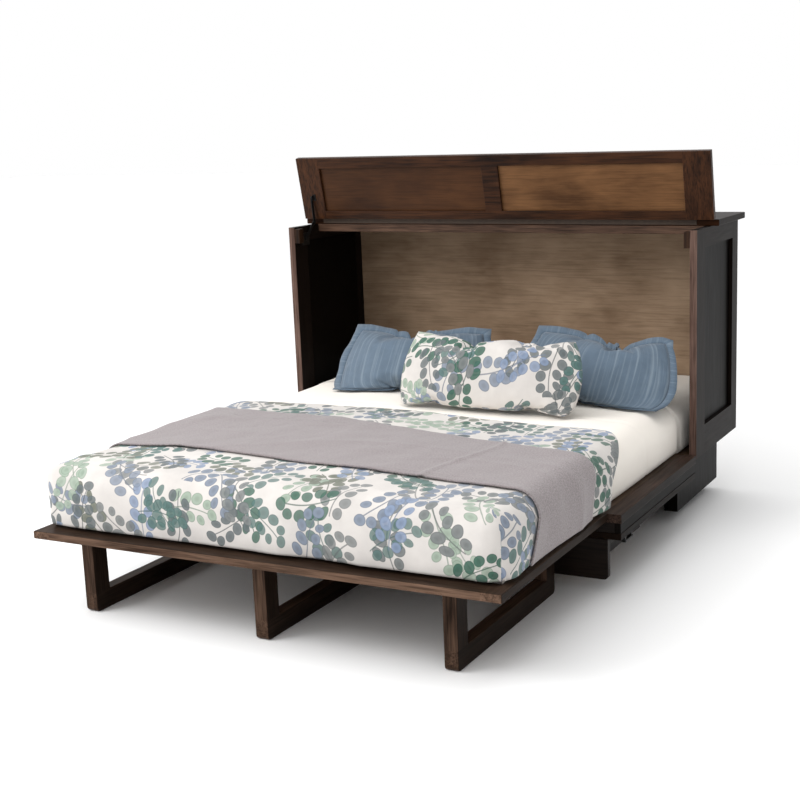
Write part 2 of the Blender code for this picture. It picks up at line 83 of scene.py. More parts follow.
class Shader:
    """Builds one material's node tree, with a short call for each kind of node."""

    def __init__(self, name):
        self.mat = bpy.data.materials.new(name)
        self.mat.use_nodes = True
        self.tree = self.mat.node_tree
        self.bsdf = self.tree.nodes["Principled BSDF"]
        self.coords = self.tree.nodes.new("ShaderNodeTexCoord")

    def put(self, socket, value):
        if isinstance(value, bpy.types.NodeSocket):
            self.tree.links.new(value, socket)
        elif value is not None:
            socket.default_value = value

    def calc(self, operation, a, b=None, clamp=False):
        node = self.tree.nodes.new("ShaderNodeMath")
        node.operation = operation
        node.use_clamp = clamp
        for socket, value in zip(node.inputs, (a, b)):
            self.put(socket, value)
        return node.outputs[0]

    def vector(self, operation, a, b=None, scale=None):
        node = self.tree.nodes.new("ShaderNodeVectorMath")
        node.operation = operation
        self.put(node.inputs[0], a)
        self.put(node.inputs[1], b)
        if scale is not None:
            self.put(node.inputs["Scale"], scale)
        return node.outputs[0]

    def map(self, vector, scale=(1, 1, 1), offset=(0, 0, 0)):
        node = self.tree.nodes.new("ShaderNodeMapping")
        self.put(node.inputs["Vector"], vector)
        node.inputs["Scale"].default_value = scale
        node.inputs["Location"].default_value = offset
        return node.outputs[0]

    def noise(self, vector, scale, detail=4.0, rough=0.55, distortion=0.0):
        node = self.tree.nodes.new("ShaderNodeTexNoise")
        self.put(node.inputs["Vector"], vector)
        node.inputs["Scale"].default_value = scale
        node.inputs["Detail"].default_value = detail
        node.inputs["Roughness"].default_value = rough
        node.inputs["Distortion"].default_value = distortion
        return node.outputs["Fac"]

    def ramp(self, value, stops, constant=False):
        node = self.tree.nodes.new("ShaderNodeValToRGB")
        node.color_ramp.interpolation = "CONSTANT" if constant else "LINEAR"
        for i, (at, colour) in enumerate(stops):
            element = node.color_ramp.elements[i] if i < 2 else node.color_ramp.elements.new(at)
            element.position = at
            element.color = colour if len(colour) == 4 else (*colour, 1)
        self.put(node.inputs[0], value)
        return node.outputs[0]

    def mix(self, share, a, b, blend="MIX"):
        node = self.tree.nodes.new("ShaderNodeMix")
        node.data_type = "RGBA"
        node.blend_type = blend
        self.put(node.inputs["Factor"], share)
        inputs = [s for s in node.inputs if s.type == "RGBA"]
        self.put(inputs[0], a)
        self.put(inputs[1], b)
        return [s for s in node.outputs if s.type == "RGBA"][0]

    def choose(self, share, a, b):
        """Vector a where share is 0 and vector b where it is 1."""
        node = self.tree.nodes.new("ShaderNodeMix")
        node.data_type = "VECTOR"
        self.put(node.inputs[0], share)
        vectors = [i for i in node.inputs if i.type == "VECTOR"]
        self.put(vectors[1], a)
        self.put(vectors[2], b)
        return [o for o in node.outputs if o.type == "VECTOR"][0]

    def split(self, vector):
        node = self.tree.nodes.new("ShaderNodeSeparateXYZ")
        self.put(node.inputs[0], vector)
        return node.outputs

    def bump(self, height, strength, distance):
        node = self.tree.nodes.new("ShaderNodeBump")
        node.inputs["Strength"].default_value = strength
        node.inputs["Distance"].default_value = distance
        self.put(node.inputs["Height"], height)
        self.put(self.bsdf.inputs["Normal"], node.outputs[0])

    def set(self, **values):
        for name, value in values.items():
            self.put(self.bsdf.inputs[name.replace("_", " ")], value)
        return self.mat


def linear(r, g, b):
    """A colour given as 0 to 255 in the usual screen scale."""
    return tuple((c / 255) ** 2.2 for c in (r, g, b)) + (1.0,)


# How strong the pores are, how cloudy the stain is, how wide the tones spread, how strong the figure is, and
# how many times longer than wide its marks are.
GRAINS = {
    "solid": (0.5, 0.5, 0.21, 0.62, 11.0),
    "panel": (0.22, 1.0, 0.34, 0.50, 5.0),
    "ply": (0.16, 0.9, 0.44, 0.42, 3.6),
}
ACROSS = {"X": (0, 1, 1), "Y": (1, 0, 1), "Z": (1, 1, 0)}
# The colour that painted shade, and the back panel's darker rear stain, mix towards.
SHADE_AND_STAIN_BLACK = (0.002, 0.0015, 0.0012, 1)
WOOD_ROUGHNESS = 0.42 - 0.06


def stretch(grain, along, over):
    return tuple(over if flag else along for flag in ACROSS[grain])


def wood(name, dark, light, grain, seed, cross, kind, darker, fade_and_painted_light):
    """Stained wood with its grain along an axis.

    cross is (axis, [(axis, middle, half, outside)]) for a frame's other members, or None. Each of darker is
    (what, axis, limit, above, strength), a part of the piece mixed towards near black. This is painted shade on
    faces the light misses, and on the back panel's rear face it is a darker stain. what is "place" for a limit on
    the position, or "facing" for one on the direction that a face looks in, and above is None for both directions.
    The last argument, (low, high, dim, bright) or None, is painted light: the piece brightened along X."""
    pores, blotch, spread, streaks, long = GRAINS[kind]
    s = Shader(name)
    here = s.coords.outputs["Object"]
    offset = (seed * 1.37, seed * 2.11, seed * 0.73)

    def pattern(axis):
        return (
            s.map(here, stretch(axis, 1.0, long), offset),
            s.map(here, stretch(axis, 7.0, 230.0), offset),
        )

    broad, fine = pattern(grain)
    if cross:
        other, tests = cross
        where = None
        xyz = s.split(here)
        for axis, middle, half, outside in tests:
            gone = s.calc("ABSOLUTE", s.calc("SUBTRACT", xyz["XYZ".index(axis)], middle))
            test = s.calc("GREATER_THAN" if outside else "LESS_THAN", gone, half)
            where = test if where is None else s.calc("MULTIPLY", where, test)
        broad2, fine2 = pattern(other)
        broad, fine = s.choose(where, broad, broad2), s.choose(where, fine, fine2)
    figure = s.noise(broad, 2.4, 5.0, 0.60, 0.9)
    rings = s.noise(broad, 9.0, 3.0, 0.55, 0.4)
    clouds = s.noise(s.map(here, (1, 1, 1), offset), 2.6, 3.0, 0.6)
    pore = s.noise(fine, 1.0, 2.0, 0.5)
    tone = s.calc("ADD", s.calc("MULTIPLY", figure, streaks), s.calc("MULTIPLY", rings, 0.38))
    tone = s.calc("ADD", tone, 0.5 * (0.62 - streaks))
    tone = s.calc("ADD", tone, s.calc("MULTIPLY", s.calc("SUBTRACT", clouds, 0.5), blotch))
    colour = s.ramp(tone, [(0.49 - spread, dark), (0.49 + spread, light)])
    streak = s.ramp(pore, [(0.36, (1 - pores, 1 - pores, 1 - pores)), (0.52, (1, 1, 1))])
    colour = s.mix(1.0, colour, streak, "MULTIPLY")
    # Painted shade: faces the light misses are mixed towards near black. On the back panel's rear face this is a
    # darker stain.
    for what, axis, limit, above, strength in darker:
        field = here if what == "place" else s.coords.outputs["Normal"]
        field = s.split(field)["XYZ".index(axis)]
        if above is None:
            field = s.calc("ABSOLUTE", field)
        shade_and_stain_mask = s.calc("LESS_THAN" if above is False else "GREATER_THAN", field, limit)
        colour = s.mix(s.calc("MULTIPLY", shade_and_stain_mask, 1 - strength), colour, SHADE_AND_STAIN_BLACK)
    # Painted light: the piece is brightened along X.
    if fade_and_painted_light:
        low, high, dim, bright = fade_and_painted_light
        along = s.calc("DIVIDE", s.calc("SUBTRACT", s.split(here)[0], low), high - low)
        colour = s.mix(1.0, colour, s.ramp(along, [(0.0, (dim,) * 3), (1.0, (bright,) * 3)]), "MULTIPLY")
    gloss = s.calc("ADD", WOOD_ROUGHNESS, s.calc("MULTIPLY", rings, 0.14))
    s.bump(s.calc("ADD", pore, s.calc("MULTIPLY", rings, 0.5)), 0.25, 0.0004)
    return s.set(Base_Color=colour, Roughness=gloss, Specular_IOR_Level=0.04 if darker else 0.12)


def metal(name, value, rough, metallic=0.7, hue=(1.0, 1.0, 1.0)):
    """Plain or painted metal of one tone, a little uneven."""
    s = Shader(name)
    grain = s.noise(s.coords.outputs["Object"], 60.0, 3.0)
    gloss = s.calc("ADD", rough, s.calc("MULTIPLY", grain, 0.12))
    stops = [(at, tuple(value * share * h for h in hue)) for at, share in ((0.3, 0.85), (0.7, 1.15))]
    tint = s.ramp(grain, stops)
    return s.set(Base_Color=tint, Metallic=metallic, Roughness=gloss, Specular_IOR_Level=0.25)


def cloth(name, colour, low, scale, weave, streaks=None, sheen=0.25, bump=0.25):
    """Plain woven or knitted cloth, on the UV map's metres. low is how dark its darker patches are, scale how fine
    the patches are and weave how fine the threads are. streaks is (scale, colour), or None."""
    s = Shader(name)
    flat = s.coords.outputs["UV"]
    soft = s.noise(flat, scale, 5.0, 0.6)
    shade = s.ramp(soft, [(0.30, tuple(c * low for c in colour[:3])), (0.70, colour)])
    if streaks:
        runs = s.noise(s.map(flat, streaks[0]), 1.0, 4.0, 0.65)
        shade = s.mix(s.ramp(runs, [(0.50, (0, 0, 0)), (0.72, (1, 1, 1))]), shade, streaks[1])
    threads = s.calc(
        "ADD",
        s.noise(s.map(flat, (weave, weave * 0.12, 1)), 1.0, 1.0),
        s.noise(s.map(flat, (weave * 0.12, weave, 1)), 1.0, 1.0),
    )
    s.bump(threads, bump, 0.0006)
    return s.set(
        Base_Color=shade, Roughness=0.92, Sheen_Weight=sheen, Sheen_Roughness=0.5, Specular_IOR_Level=0.2
    )


LEAF_COLOURS = [
    (60, 98, 84),
    (150, 166, 150),
    (118, 122, 122),
    (128, 143, 168),
    (112, 116, 104),
    (84, 112, 108),
    (124, 134, 149),
    (96, 104, 106),
]


# How bright a leaf is from its middle (0) to its rim (0.92).
VEIN_STOPS = ((0.0, 0.82), (0.35, 1.0), (0.72, 0.98), (0.92, 0.66))


def sprig():
    """One sprig's leaves: round ovals in pairs up a stem, as (x, y, turn, long half, short half)."""
    leaves = [(0.03, 0.90, 0.3, 0.200, 0.175)]
    for i, (swing, size) in enumerate(((0.05, 0.215), (-0.06, 0.235), (0.03, 0.220), (0.0, 0.190))):
        y = -0.66 + 0.41 * i
        leaves.append((0.290 + swing, y + 0.11, 0.75 + swing * 4, size, size * 0.80))
        leaves.append((-0.310 + swing, y - 0.10, 2.35 - swing * 4, size * 0.92, size * 0.78))
    return leaves


def leaf_layer(s, flat, cell, offset, half, spread):
    """Sprigs scattered over the cloth, one to each cell.

    Returns how much of a sprig is at each point, random values for each sprig, and how far out in its leaf a
    point is: 0 at a leaf's middle and about 1 at its rim."""
    moved = s.map(flat, (1, 1, 1), offset)
    bend = s.noise(moved, 5.0, 1.0)
    moved = s.vector("ADD", moved, s.vector("SCALE", s.vector("SUBTRACT", bend, (0.5,) * 3), scale=0.03))
    cells = s.tree.nodes.new("ShaderNodeTexVoronoi")
    cells.voronoi_dimensions = "2D"
    cells.inputs["Scale"].default_value = 1 / cell
    cells.inputs["Randomness"].default_value = spread
    s.put(cells.inputs["Vector"], moved)
    local = s.vector("SCALE", s.vector("SUBTRACT", moved, cells.outputs["Position"]), scale=1 / half)
    random = s.split(cells.outputs["Color"])
    x, y, _ = s.split(local)
    angle = s.calc("MULTIPLY", random[0], 6.283)
    cosine, sine = s.calc("COSINE", angle), s.calc("SINE", angle)
    u = s.calc("SUBTRACT", s.calc("MULTIPLY", x, cosine), s.calc("MULTIPLY", y, sine))
    v = s.calc("ADD", s.calc("MULTIPLY", x, sine), s.calc("MULTIPLY", y, cosine))
    u = s.calc("ADD", u, s.calc("MULTIPLY", s.calc("MULTIPLY", v, v), 0.18))
    nearest = None
    for cx, cy, tilt, long, short in sprig():
        du, dv = s.calc("SUBTRACT", u, cx), s.calc("SUBTRACT", v, cy)
        c, k = math.cos(tilt), math.sin(tilt)
        a = s.calc("ADD", s.calc("MULTIPLY", du, c / long), s.calc("MULTIPLY", dv, k / long))
        b = s.calc("SUBTRACT", s.calc("MULTIPLY", dv, c / short), s.calc("MULTIPLY", du, k / short))
        d = s.calc("ADD", s.calc("MULTIPLY", a, a), s.calc("MULTIPLY", b, b))
        nearest = d if nearest is None else s.calc("MINIMUM", nearest, d)
    inside = s.calc("SUBTRACT", 1.0, s.calc("MULTIPLY", s.calc("SUBTRACT", nearest, 0.92), 8.0, clamp=True))
    stem = s.calc("LESS_THAN", s.calc("ABSOLUTE", u), 0.022)
    stem = s.calc("MULTIPLY", stem, s.calc("LESS_THAN", s.calc("ABSOLUTE", v), 0.95))
    return s.calc("MAXIMUM", inside, s.calc("MULTIPLY", stem, 0.8)), random, nearest


def leaf_print(name):
    """Cream cotton printed with round-leaved sprigs in greens, greys and blues."""
    s = Shader(name)
    flat = s.coords.outputs["UV"]
    wash = s.noise(flat, 9.0, 4.0)
    colour = s.ramp(wash, [(0.3, linear(198, 193, 189)), (0.7, linear(214, 209, 204))])
    layers = [
        (0.205, (3.1, 7.7, 0), 0.090, 0.50, 0.0),
        (0.192, (11.3, 2.9, 0), 0.085, 0.60, 0.37),
        (0.214, (5.9, 13.1, 0), 0.090, 0.55, 0.71),
        (0.262, (17.7, 4.3, 0), 0.086, 0.60, 0.13),
    ]
    steps = len(LEAF_COLOURS)
    for cell, offset, half, spread, shift in layers:
        mask, random, depth = leaf_layer(s, flat, cell, offset, half, spread)
        pick = s.calc("FRACT", s.calc("ADD", random[1], shift))
        stops = [(i / steps, linear(*c)) for i, c in enumerate(LEAF_COLOURS)]
        tint = s.ramp(pick, stops, constant=True)
        fade_and_painted_light = s.calc("SUBTRACT", 0.97, s.calc("MULTIPLY", random[2], 0.14))
        vein = s.ramp(depth, [(at, (level,) * 3) for at, level in VEIN_STOPS])
        tint = s.mix(1.0, tint, vein, "MULTIPLY")
        colour = s.mix(s.calc("MULTIPLY", mask, fade_and_painted_light), colour, tint)
    threads = s.noise(s.map(flat, (900, 900, 1)), 1.0, 1.0)
    s.bump(threads, 0.15, 0.0004)
    return s.set(
        Base_Color=colour, Roughness=0.88, Sheen_Weight=0.2, Sheen_Roughness=0.5, Specular_IOR_Level=0.2
    )


def stage_shader(name, value):
    s = Shader(name)
    tone = s.noise(s.coords.outputs["Object"], 0.6, 2.0)
    return s.set(
        Base_Color=s.ramp(tone, [(0.3, (value,) * 3), (0.7, (value * 1.01,) * 3)]),
        Roughness=0.9,
        Specular_IOR_Level=0.1,
    )


floor_mesh = bpy.data.meshes.new("floor")
bm = bmesh.new()
bmesh.ops.create_grid(bm, x_segments=1, y_segments=1, size=30)
bm.to_mesh(floor_mesh)
bm.free()
floor = bpy.data.objects.new("floor", floor_mesh)
floor.location.z = -0.0005
floor_mesh.materials.append(stage_shader("floor_paint", 0.985))
scene.collection.objects.link(floor)

world = bpy.data.worlds.new("studio")
world.use_nodes = True
sky, sky_links = world.node_tree.nodes, world.node_tree.links
heading = sky.new("ShaderNodeTexCoord")
parts = sky.new("ShaderNodeSeparateXYZ")
sky_links.new(heading.outputs["Generated"], parts.inputs[0])
to_the_right = sky.new("ShaderNodeMapRange")
to_the_right.interpolation_type = "SMOOTHSTEP"
to_the_right.inputs["From Min"].default_value, to_the_right.inputs["From Max"].default_value = 0.05, 0.75
to_the_right.inputs["To Min"].default_value, to_the_right.inputs["To Max"].default_value = 1.0, 0.38
sky_links.new(parts.outputs["X"], to_the_right.inputs["Value"])
overhead = sky.new("ShaderNodeMapRange")
overhead.inputs["From Min"].default_value, overhead.inputs["From Max"].default_value = 0.15, 1.0
overhead.inputs["To Min"].default_value, overhead.inputs["To Max"].default_value = 1.0, 1.35
sky_links.new(parts.outputs["Z"], overhead.inputs["Value"])
power = sky.new("ShaderNodeMath")
power.operation = "MULTIPLY"
sky_links.new(to_the_right.outputs["Result"], power.inputs[0])
sky_links.new(overhead.outputs["Result"], power.inputs[1])
sky_links.new(power.outputs[0], sky["Background"].inputs["Strength"])
sky["Background"].inputs["Color"].default_value = (1.0, 1.0, 1.0, 1)
scene.world = world


def softbox(name, at, aim, size, power):
    """A rectangular lamp that faces a point."""
    data = bpy.data.lights.new(name, "AREA")
    data.shape = "RECTANGLE"
    data.size, data.size_y = size
    data.energy = power
    lamp = bpy.data.objects.new(name, data)
    lamp.location = at
    lamp.rotation_mode = "QUATERNION"
    lamp.rotation_quaternion = (Vector(aim) - Vector(at)).to_track_quat("-Z", "Y")
    scene.collection.objects.link(lamp)


softbox("key", (-2.6, -2.6, 3.4), (0.0, 0.1, 0.3), (2.6, 2.0), 95)
softbox("fill", (1.2, -4.0, 2.4), (0.1, 0.3, 0.5), (2.4, 2.4), 12)
softbox("top", (0.3, 0.0, 3.6), (0.2, 0.0, 0.3), (3.0, 3.0), 20)

# ------------------------------------------------------------------ wood and metal of the frame's own nodes
WALNUT = (linear(27, 15, 9), linear(74, 47, 30))
EDGE = (linear(44, 31, 24), linear(104, 80, 66))
CAP = (linear(34, 26, 22), linear(78, 63, 56))
LEG = (linear(40, 30, 24), linear(94, 74, 62))
STILE = (linear(64, 48, 42), linear(116, 94, 85))
PANEL = (linear(52, 32, 18), linear(126, 90, 60))
SHADED = (linear(38, 22, 13), linear(82, 54, 34))
# Near-black brown: a dark stain on the rails and drawer box, and painted shade on the drawer front, side panels
# and base sides.
DARK_STAIN_AND_SHADE = (linear(16, 12, 10), linear(34, 27, 23))
# Walnut darkened as painted shade, for the front frame and the strike blocks.
SHADED_WALNUT = (linear(28, 18, 12), linear(62, 43, 30))
RAIL = (linear(54, 40, 32), linear(118, 94, 79))
PLY = (linear(82, 60, 42), linear(176, 150, 122))
BACK = (linear(96, 72, 52), linear(200, 172, 144))
DECK = (linear(36, 27, 20), linear(82, 64, 49))
FRAME_CROSS = ("Y", [("Z", 0.650, 0.312, True), ("Y", 0.783, 0.175, False)])
LID_CROSS = ("Z", [("X", 0.0, 0.729, True)])
LEG_CROSS = ("Y", [("Z", 0.029, 0.0295, False)])
# Painted shade: each of these mixes the faces that the light misses towards near black.
SHADE_BEHIND_FRONT = (("place", "Y", FRONT_Y + 0.0012, True, 0.06),)
SHADE_X_FACES = (("facing", "X", 0.6, None, 0.26),)
SHADE_X_FACES_AND_TOP = (("facing", "X", 0.6, None, 0.15), ("facing", "Z", 0.6, True, 0.32))
SHADE_UNDER_CAP = (("place", "Z", 0.2226, False, 0.05), ("facing", "X", 0.9, None, 0.25))
SHADE_TOP_BOARD = (("facing", "X", 0.6, None, 0.15), ("facing", "Z", 0.6, True, 0.3))
SHADE_OFF_DOOR_FACE = (("facing", "Z", -0.5, True, 0.2),)
# A darker stain on the back panel's rear face.
REAR = (("facing", "Y", 0.5, True, 0.22),)
FRONT_CROSS = ("Y", [("X", 0.0, 0.706, True)])
FOOT_CROSS = ("Y", [("X", 0.0, 0.711, True)])
# Painted light: the back panel brightens towards +X, where the light falls on it more.
BACK_PAINTED_LIGHT = (-0.78, 0.78, 0.62, 1.0)
# node: (colours, grain direction, the frame's other members, kind of grain, the darkened faces: painted shade, and
# a darker stain on the back panel's rear face)
FINISHES = {
    "side_frame_left": (STILE, "Z", FRAME_CROSS, "solid", SHADE_BEHIND_FRONT),
    "side_frame_right": (STILE, "Z", FRAME_CROSS, "solid", SHADE_BEHIND_FRONT),
    "side_panel_left": (DARK_STAIN_AND_SHADE, "Z", None, "solid", SHADE_BEHIND_FRONT),
    "side_panel_right": (DARK_STAIN_AND_SHADE, "Z", None, "solid", SHADE_BEHIND_FRONT),
    "back_panel": (BACK, "X", None, "ply", REAR),
    "top_fixed": (WALNUT, "X", None, "solid", SHADE_TOP_BOARD),
    "top_rail": (EDGE, "X", None, "solid", ()),
    "strike_block_left": (SHADED_WALNUT, "Z", None, "solid", ()),
    "strike_block_right": (SHADED_WALNUT, "Z", None, "solid", ()),
    "base_side_left": (DARK_STAIN_AND_SHADE, "Z", None, "solid", SHADE_BEHIND_FRONT),
    "base_side_right": (DARK_STAIN_AND_SHADE, "Z", None, "solid", SHADE_BEHIND_FRONT),
    "head_deck": (DECK, "X", None, "ply", ()),
    "base_front_rail": (DARK_STAIN_AND_SHADE, "X", None, "solid", ()),
    "base_back_rail": (DARK_STAIN_AND_SHADE, "X", None, "solid", ()),
    "lid_frame": (WALNUT, "X", LID_CROSS, "solid", ()),
    "lid_panel_left": (SHADED, "X", None, "panel", ()),
    "lid_panel_right": (PANEL, "X", None, "panel", ()),
    "platform_rail_left": (CAP, "Y", None, "solid", SHADE_UNDER_CAP),
    "platform_rail_right": (CAP, "Y", None, "solid", SHADE_UNDER_CAP),
    "front_panel_left": (PANEL, "X", None, "panel", ()),
    "front_panel_right": (PANEL, "X", None, "panel", ()),
    "platform_deck": (DECK, "Y", None, "ply", ()),
    "platform_end_rail": (DARK_STAIN_AND_SHADE, "X", None, "solid", ()),
    "platform_hinge_rail": (DARK_STAIN_AND_SHADE, "X", None, "solid", ()),
    "front_frame": (SHADED_WALNUT, "X", FRONT_CROSS, "solid", SHADE_OFF_DOOR_FACE),
    "foot_frame": (RAIL, "X", FOOT_CROSS, "solid", SHADE_X_FACES_AND_TOP),
    "foot_deck": (DECK, "Y", None, "ply", ()),
    "leg_left": (LEG, "Z", LEG_CROSS, "solid", SHADE_X_FACES),
    "leg_mid": (LEG, "Z", LEG_CROSS, "solid", SHADE_X_FACES),
    "leg_right": (LEG, "Z", LEG_CROSS, "solid", SHADE_X_FACES),
    "drawer_front": (DARK_STAIN_AND_SHADE, "X", None, "solid", ()),
    "drawer_box": (DARK_STAIN_AND_SHADE, "Y", None, "solid", ()),
    "drawer_bottom": (PLY, "X", None, "ply", ()),
    "drawer_skid_left": (WALNUT, "Y", None, "solid", ()),
    "drawer_skid_right": (WALNUT, "Y", None, "solid", ()),
}
HARDWARE = ("stay_bracket", "stay_lid_lug", "stay_lower_arm", "stay_upper_arm", "handle_left", "handle_right")


def paint(name, mat):
    nodes[name].data.materials.clear()
    nodes[name].data.materials.append(mat)


for seed, (name, ((dark, light), grain, cross, kind, darker)) in enumerate(FINISHES.items()):
    # Painted light along the back panel.
    fade_and_painted_light = BACK_PAINTED_LIGHT if name == "back_panel" else None
    paint(name, wood("wood_" + name, dark, light, grain, seed + 1.0, cross, kind, darker, fade_and_painted_light))
black = metal("black_hardware", 0.018, 0.38)
matt = metal("matt_black_steel", 0.011, 0.55, 0.0)
bronze = metal("dark_bronze", 0.045, 0.60, 0.0, (1.25, 0.85, 0.62))
for name in nodes:
    if any(word in name for word in ("leaf", "hinge_left", "hinge_mid", "hinge_right")):
        paint(name, bronze if name in ("top_hinge_leaf", "lid_hinge_leaf") else matt)
for name in HARDWARE:
    paint(name, black)


# ------------------------------------------------------------------ soft goods
def fractal(x, y, z=0.0, octaves=3):
    return noise.fractal(Vector((x, y, z)), 1.0, 2.0, octaves)


def crease(x, y, z=0.0):
    """Thin ridges, 0 to 1."""
    return (1 - abs(noise.noise(Vector((x, y, z))))) ** 5


def drop_curve(length, radius):
    """How far a cloth reaches out, and how far it has dropped, this far past where it starts to turn down."""
    if length < radius * math.pi / 2:
        return radius * math.sin(length / radius), radius * (1 - math.cos(length / radius))
    return radius, radius + length - radius * math.pi / 2


COVER_HALF, COVER_FOOT, COVER_TOP, COVER_RADIUS = 0.767, -1.490, 0.4440, 0.066
COVER_HEM, COVER_CROWN = 0.264, 0.012
COVER_DROP = COVER_TOP - COVER_HEM
COVER_SHIFT, COVER_SKEW = -0.002, -0.006
LEFT_FOLDS = 0.35
RUN = COVER_RADIUS * math.pi / 2 + COVER_DROP - COVER_RADIUS
COVER_FLAT_HALF = COVER_HALF - COVER_RADIUS + RUN


def smooth_step(low, high, x):
    """0 up to low, 1 from high on, and a smooth rise between."""
    k = max(0.0, min(1.0, (x - low) / (high - low)))
    return k * k * (3 - 2 * k)


def cover_point(s, t):
    """Where a point of the bed cover lies: s across from the middle and t down the bed, both along the cloth."""
    a, b = COVER_HALF - COVER_RADIUS, -COVER_FOOT - COVER_RADIUS
    px = max(-a, min(a, s))
    pt = min(t, b)
    ex, et = s - px, t - pt
    length = max(abs(ex), et)
    reach, drop = drop_curve(length, COVER_RADIUS)
    size = math.hypot(ex, et)
    dx, dt = (ex / size, et / size) if size > 1e-9 else (0.0, 0.0)
    crown = COVER_CROWN * (1 - (px / a) ** 2) * min(1.0, max(0.0, (b - pt) / 0.5 + 0.25))
    x = px + dx * reach + COVER_SHIFT + COVER_SKEW * smooth_step(0.5, 1.2, t)
    return (x, -(pt + dt * reach), COVER_TOP + crown - drop * (1 + crown / COVER_DROP)), drop


def cover_flat(s, t):
    """The print's place on the cloth: past a corner each side keeps its own run, and they meet in a fold."""
    a, b = COVER_HALF - COVER_RADIUS, -COVER_FOOT - COVER_RADIUS
    ex, et = abs(s) - a, t - b
    if ex <= 0 or et <= 0:
        return s, t
    length, angle = max(ex, et), math.atan2(et, ex)
    if angle < math.pi / 4:
        return math.copysign(a + length, s), b + COVER_RADIUS * 1.2 * angle
    return math.copysign(a + COVER_RADIUS * 1.2 * (math.pi / 2 - angle), s), b + length


def cover_rise(s, t, drop):
    """How far a cover stands off its smooth shape: puffs, wrinkles, and folds that deepen down the sides. On
    the left side they are shallower."""
    puff = 0.0055 * fractal(s * 2.6, t * 3.4, 3.7) + 0.0022 * fractal(s * 9.0, t * 7.0, 8.1)
    wrinkle = 0.0045 * crease(s * 2.1 + 0.3 * t, t * 5.2, 1.9) * (0.5 + noise.noise(Vector((s, t, 5.0))))
    side = min(1.0, drop / COVER_DROP)
    run = t if abs(s) > COVER_HALF - COVER_RADIUS else s
    fold = 0.0050 * math.sin(run * 19 + 2.5 * noise.noise(Vector((run * 2.2, 0.5, 0.0)))) * side
    belly = 0.007 * math.sin(math.pi * min(1.0, drop / COVER_DROP * 0.95))
    return puff + wrinkle + (fold + belly) * (LEFT_FOLDS if s < 0 else 1.0)


def grid_mesh(name, points, flats):
    """A mesh of quads from rows of points, with a UV map in metres."""
    rows, columns = len(points), len(points[0])
    verts = [p for row in points for p in row]
    faces = [
        (i * columns + j, i * columns + j + 1, (i + 1) * columns + j + 1, (i + 1) * columns + j)
        for i in range(rows - 1)
        for j in range(columns - 1)
    ]
    mesh = bpy.data.meshes.new(name)
    mesh.from_pydata(verts, [], faces)
    layer = mesh.uv_layers.new(name="flat")
    uvs = [f for row in flats for f in row]
    loops = np.zeros(len(mesh.loops), np.int32)
    mesh.loops.foreach_get("vertex_index", loops)
    layer.data.foreach_set("uv", np.array(uvs, np.float32)[loops].ravel())
    return mesh


def add(name, mesh, mat):
    """A new smooth-shaded object in the scene."""
    obj = bpy.data.objects.new(name, mesh)
    scene.collection.objects.link(obj)
    mesh.materials.append(mat)
    mesh.polygons.foreach_set("use_smooth", [True] * len(mesh.polygons))
    return obj


def apply_modifiers(obj):
    """Makes the object's modifiers part of its mesh."""
    bpy.context.view_layer.update()
    done = bpy.data.meshes.new_from_object(obj.evaluated_get(bpy.context.evaluated_depsgraph_get()))
    obj.modifiers.clear()
    obj.data = done


def cover_cloth(name, start, end, lift, thick, mat, step):
    """A cloth over the bed from one edge to the other: start and end give t for each s, and lift how far it
    stands off the cover's own shape."""
    full = COVER_FLAT_HALF
    columns = int(2 * full / step)
    rows = int((end(0.0) - start(0.0)) / step)
    points, flats = [], []
    for i in range(rows + 1):
        row, flat = [], []
        for j in range(columns + 1):
            s = -full + 2 * full * j / columns
            t = start(s) + (end(s) - start(s)) * i / rows
            (x, y, z), drop = cover_point(s, t)
            row.append((x, y, z, drop, s, t))
            flat.append(cover_flat(s, t))
        points.append(row)
        flats.append(flat)
    grid = np.array(points)
    place = grid[..., :3]
    du, dv = np.gradient(place, axis=1), np.gradient(place, axis=0)
    normal = np.cross(dv, du)
    normal /= np.linalg.norm(normal, axis=2, keepdims=True) + 1e-12
    normal *= np.where(normal[rows // 2, columns // 2, 2] < 0, -1.0, 1.0)
    rise = np.array([[cover_rise(s, t, d) + lift(s, t) for *_, d, s, t in row] for row in points])
    place = place + normal * rise[..., None]
    place[..., 1] += FRONT_Y
    mesh = grid_mesh(name, [[tuple(p) for p in row] for row in place], flats)
    obj = add(name, mesh, mat)
    bm = bmesh.new()
    bm.from_mesh(mesh)
    bm.faces.ensure_lookup_table()
    if bm.faces[rows // 2 * columns + columns // 2].normal.z < 0:
        bmesh.ops.reverse_faces(bm, faces=bm.faces)
    bm.to_mesh(mesh)
    bm.free()
    shell = obj.modifiers.new("shell", "SOLIDIFY")
    shell.thickness = thick
    shell.offset = -1
    apply_modifiers(obj)
    return obj


def halved(obj, name, y, front):
    """A copy of obj with only what is in front of, or behind, a plane across the bed, and the cut closed."""
    bm = bmesh.new()
    bm.from_mesh(obj.data)
    geom = bm.verts[:] + bm.edges[:] + bm.faces[:]
    bmesh.ops.bisect_plane(
        bm, geom=geom, plane_co=(0, y, 0), plane_no=(0, 1, 0), clear_outer=front, clear_inner=not front
    )
    edges = [e for e in bm.edges if e.is_boundary]
    bmesh.ops.triangle_fill(bm, edges=edges, use_beauty=True)
    left = [e for e in bm.edges if e.is_boundary]
    if left:
        bmesh.ops.holes_fill(bm, edges=left)
    bmesh.ops.recalc_face_normals(bm, faces=bm.faces)
    for face in bm.faces:
        face.smooth = True
    mesh = bpy.data.meshes.new(name)
    bm.to_mesh(mesh)
    bm.free()
    mesh.materials.append(obj.data.materials[0])
    half = bpy.data.objects.new(name, mesh)
    scene.collection.objects.link(half)
    return half


